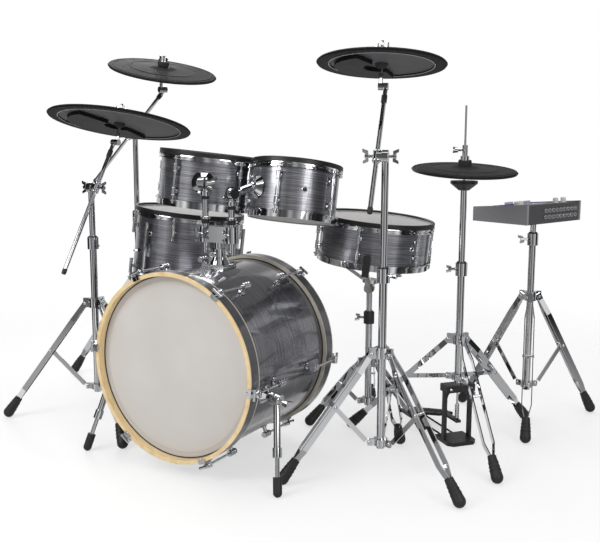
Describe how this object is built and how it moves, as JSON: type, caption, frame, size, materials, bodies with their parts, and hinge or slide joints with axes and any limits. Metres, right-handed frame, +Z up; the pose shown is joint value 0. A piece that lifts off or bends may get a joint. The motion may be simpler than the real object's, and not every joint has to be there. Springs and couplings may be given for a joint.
{
  "type": "electronic drum kit",
  "caption": "Electronic drum kit with wrapped bass drum, mesh-headed toms and snare, rubber cymbals on boom stands, hi-hat with pedal and a sound module on a stand.",
  "frame": {"origin": "centre of the kit's footprint on the floor", "axes": "+Z up, +X to the right seen from the audience, +Y towards the player, bass drum axis along Y"},
  "size_m": [1.9096, 1.194, 1.188],
  "materials": {
    "wrap": "dark grey glossy wrap with fine streaks",
    "hoop_wood": "pale maple faces, dark grey sides",
    "head": "off-white mesh with black rubber rim",
    "pad_rubber": "matte black rubber",
    "rubber": "matte black rubber",
    "foam_plate": "black foam on a plain bar",
    "black_metal": "satin black paint",
    "case_plastic": "fine textured black plastic",
    "knob_plastic": "smooth off-white plastic",
    "chrome": "bright chrome plate"
  },
  "bodies": {
    "kit": {"bass_shell": "wrap", "bass_hoops": "hoop_wood", "bass_heads": "head", "bass_claws": "chrome", "bass_lugs": "chrome", "bass_trigger": "foam_plate", "spur_brackets": "chrome", "tom_base": "chrome", "floor_tom_shell": "wrap", "floor_tom_hoops": "chrome", "floor_tom_heads": "head", "floor_tom_lugs": "chrome", "floor_tom_legs": "chrome", "stand_base_tubes": "chrome", "stand_collars": "chrome", "stand_legs": "chrome", "stand_braces": "chrome", "stand_feet": "rubber", "stand_clamps": "chrome", "hat_pedal_frame": "black_metal"},
    "spur_left": {"spur_left": "chrome"},
    "spur_right": {"spur_right": "chrome"},
    "tom_post": {"tom_post": "chrome"},
    "tom_arm_left": {"tom_arm_left": "chrome"},
    "tom_arm_right": {"tom_arm_right": "chrome"},
    "tom_left": {"tom_left_shell": "wrap", "tom_left_hoops": "chrome", "tom_left_heads": "head", "tom_left_lugs": "chrome"},
    "tom_right": {"tom_right_shell": "wrap", "tom_right_hoops": "chrome", "tom_right_heads": "head", "tom_right_lugs": "chrome"},
    "snare_tube": {"snare_tube": "chrome"},
    "snare": {"snare_basket": "chrome", "snare_shell": "wrap", "snare_hoops": "chrome", "snare_heads": "head", "snare_lugs": "chrome"},
    "hat_tube": {"hat_tube": "chrome"},
    "hat_rod": {"hat_rod": "chrome"},
    "hat_pad": {"hat_pad": "pad_rubber"},
    "hat_footboard": {"hat_footboard": "black_metal"},
    "module": {"module_post": "black_metal", "module_case": "case_plastic"},
    "module_dial": {"module_dial": "knob_plastic"},
    "module_knob_left": {"module_knob_left": "knob_plastic"},
    "module_knob_right": {"module_knob_right": "knob_plastic"},
    "ride_tube": {"ride_tube": "chrome"},
    "ride_boom": {"ride_boom": "chrome"},
    "ride_tilter": {"ride_tilter": "chrome"},
    "ride_pad": {"ride_pad": "pad_rubber"},
    "left_crash_tube": {"left_crash_tube": "chrome"},
    "left_crash_boom": {"left_crash_boom": "chrome"},
    "left_crash_tilter": {"left_crash_tilter": "chrome"},
    "left_crash_pad": {"left_crash_pad": "pad_rubber"},
    "right_crash_tube": {"right_crash_tube": "chrome"},
    "right_crash_boom": {"right_crash_boom": "chrome"},
    "right_crash_tilter": {"right_crash_tilter": "chrome"},
    "right_crash_pad": {"right_crash_pad": "pad_rubber"}
  },
  "joints": [
    {"name": "spur_left_swing", "type": "hinge", "parent": "kit", "child": "spur_left", "pos_m": [-0.2158, -0.4984, 0.237], "axis": [0.9759, 0, 0.2184], "range_deg": [-95, 0]},
    {"name": "spur_right_swing", "type": "hinge", "parent": "kit", "child": "spur_right", "pos_m": [0.3562, -0.4984, 0.237], "axis": [0.9759, 0, -0.2184], "range_deg": [-95, 0]},
    {"name": "tom_post_height", "type": "slide", "parent": "kit", "child": "tom_post", "axis": [0, 0, 1], "range_m": [-0.006, 0.035]},
    {"name": "tom_arm_left_swivel", "type": "hinge", "parent": "tom_post", "child": "tom_arm_left", "pos_m": [0.0242, -0.3554, 0.792], "axis": [0, 0, 1], "range_deg": [0, 13]},
    {"name": "tom_arm_right_swivel", "type": "hinge", "parent": "tom_post", "child": "tom_arm_right", "pos_m": [0.1162, -0.3554, 0.766], "axis": [0, 0, 1], "range_deg": [-13, 0]},
    {"name": "tom_left_tilt", "type": "hinge", "parent": "tom_arm_left", "child": "tom_left", "pos_m": [0.0242, -0.3554, 0.792], "axis": [-0.8751, -0.484, 0], "range_deg": [-5, 3]},
    {"name": "tom_right_tilt", "type": "hinge", "parent": "tom_arm_right", "child": "tom_right", "pos_m": [0.1162, -0.3554, 0.766], "axis": [0.8953, -0.4455, 0], "range_deg": [-4, 5]},
    {"name": "snare_height", "type": "slide", "parent": "kit", "child": "snare_tube", "axis": [0, 0, 1], "range_m": [-0.04, 0.08]},
    {"name": "snare_tilt", "type": "hinge", "parent": "snare_tube", "child": "snare", "pos_m": [0.3172, 0.1316, 0.438], "axis": [-0.2079, 0.9781, 0], "range_deg": [-8, 8]},
    {"name": "ride_height", "type": "slide", "parent": "kit", "child": "ride_tube", "axis": [0, 0, 1], "range_m": [0, 0.08]},
    {"name": "ride_boom_angle", "type": "hinge", "parent": "ride_tube", "child": "ride_boom", "pos_m": [-0.4388, -0.3354, 0.763], "axis": [0.9992, 0.0404, 0], "range_deg": [-2, 10]},
    {"name": "ride_tilter_angle", "type": "hinge", "parent": "ride_boom", "child": "ride_tilter", "pos_m": [-0.41997, -0.24424, 0.9038], "axis": [0.9992, 0.0404, 0], "range_deg": [-4, 12]},
    {"name": "ride_pad_rock", "type": "hinge", "parent": "ride_tilter", "child": "ride_pad", "pos_m": [-0.4068, -0.2284, 0.968], "axis": [0.9992, 0.0404, 0], "range_deg": [-6, 6], "stiffness_Nm_per_rad": 2},
    {"name": "left_crash_height", "type": "slide", "parent": "kit", "child": "left_crash_tube", "axis": [0, 0, 1], "range_m": [-0.02, 0.08]},
    {"name": "left_crash_boom_angle", "type": "hinge", "parent": "left_crash_tube", "child": "left_crash_boom", "pos_m": [-0.6198, 0.0896, 0.924], "axis": [-0.4281, -0.9037, 0], "range_deg": [-4, 10]},
    {"name": "left_crash_tilter_angle", "type": "hinge", "parent": "left_crash_boom", "child": "left_crash_tilter", "pos_m": [-0.35833, -0.05914, 1.07656], "axis": [-0.4281, -0.9037, 0], "range_deg": [-6, 12]},
    {"name": "left_crash_pad_rock", "type": "hinge", "parent": "left_crash_tilter", "child": "left_crash_pad", "pos_m": [-0.3478, -0.0794, 1.14], "axis": [-0.4281, -0.9037, 0], "range_deg": [-6, 6], "stiffness_Nm_per_rad": 2},
    {"name": "right_crash_height", "type": "slide", "parent": "kit", "child": "right_crash_tube", "axis": [0, 0, 1], "range_m": [-0.06, 0.08]},
    {"name": "right_crash_boom_angle", "type": "hinge", "parent": "right_crash_tube", "child": "right_crash_boom", "pos_m": [0.5712, -0.3074, 0.876], "axis": [-0.9608, -0.2773, 0], "range_deg": [-10, 10]},
    {"name": "right_crash_tilter_angle", "type": "hinge", "parent": "right_crash_boom", "child": "right_crash_tilter", "pos_m": [0.5142, -0.19106, 1.06074], "axis": [-0.9608, -0.2773, 0], "range_deg": [-12, 12]},
    {"name": "right_crash_pad_rock", "type": "hinge", "parent": "right_crash_tilter", "child": "right_crash_pad", "pos_m": [0.4982, -0.1854, 1.126], "axis": [-0.9608, -0.2773, 0], "range_deg": [-6, 6], "stiffness_Nm_per_rad": 2},
    {"name": "hat_height", "type": "slide", "parent": "kit", "child": "hat_tube", "axis": [0, 0, 1], "range_m": [-0.08, 0]},
    {"name": "hat_rod_travel", "type": "slide", "parent": "kit", "child": "hat_rod", "axis": [0, 0, 1], "range_m": [-0.0125, 0], "stiffness_N_per_m": 1800, "springref_m": 0.03},
    {"name": "hat_clutch_height", "type": "slide", "parent": "hat_rod", "child": "hat_pad", "axis": [0, 0, 1], "range_m": [0, 0.06]},
    {"name": "hat_footboard_press", "type": "hinge", "parent": "kit", "child": "hat_footboard", "pos_m": [0.4485, 0.24101, 0.017], "axis": [-0.6428, -0.766, 0], "range_deg": [-2.6, 0]},
    {"name": "module_height", "type": "slide", "parent": "kit", "child": "module", "axis": [0, 0, 1], "range_m": [-0.03, 0.08]},
    {"name": "module_knob_left_turn", "type": "hinge", "parent": "module", "child": "module_knob_left", "pos_m": [0.83226, 0.41144, 0.71802], "axis": [-0.0827, 0.0285, 0.9962], "range_deg": [-150, 150]},
    {"name": "module_knob_right_turn", "type": "hinge", "parent": "module", "child": "module_knob_right", "pos_m": [0.84595, 0.4512, 0.71802], "axis": [-0.0827, 0.0285, 0.9962], "range_deg": [-150, 150]},
    {"name": "module_dial_turn", "type": "hinge", "parent": "module", "child": "module_dial", "pos_m": [0.75234, 0.28346, 0.71505], "axis": [-0.0827, 0.0285, 0.9962], "continuous": true}
  ],
  "couplings": [
    {"joint": "hat_rod_travel", "follows": "hat_footboard_press", "m_per_rad": 0.262}
  ]
}
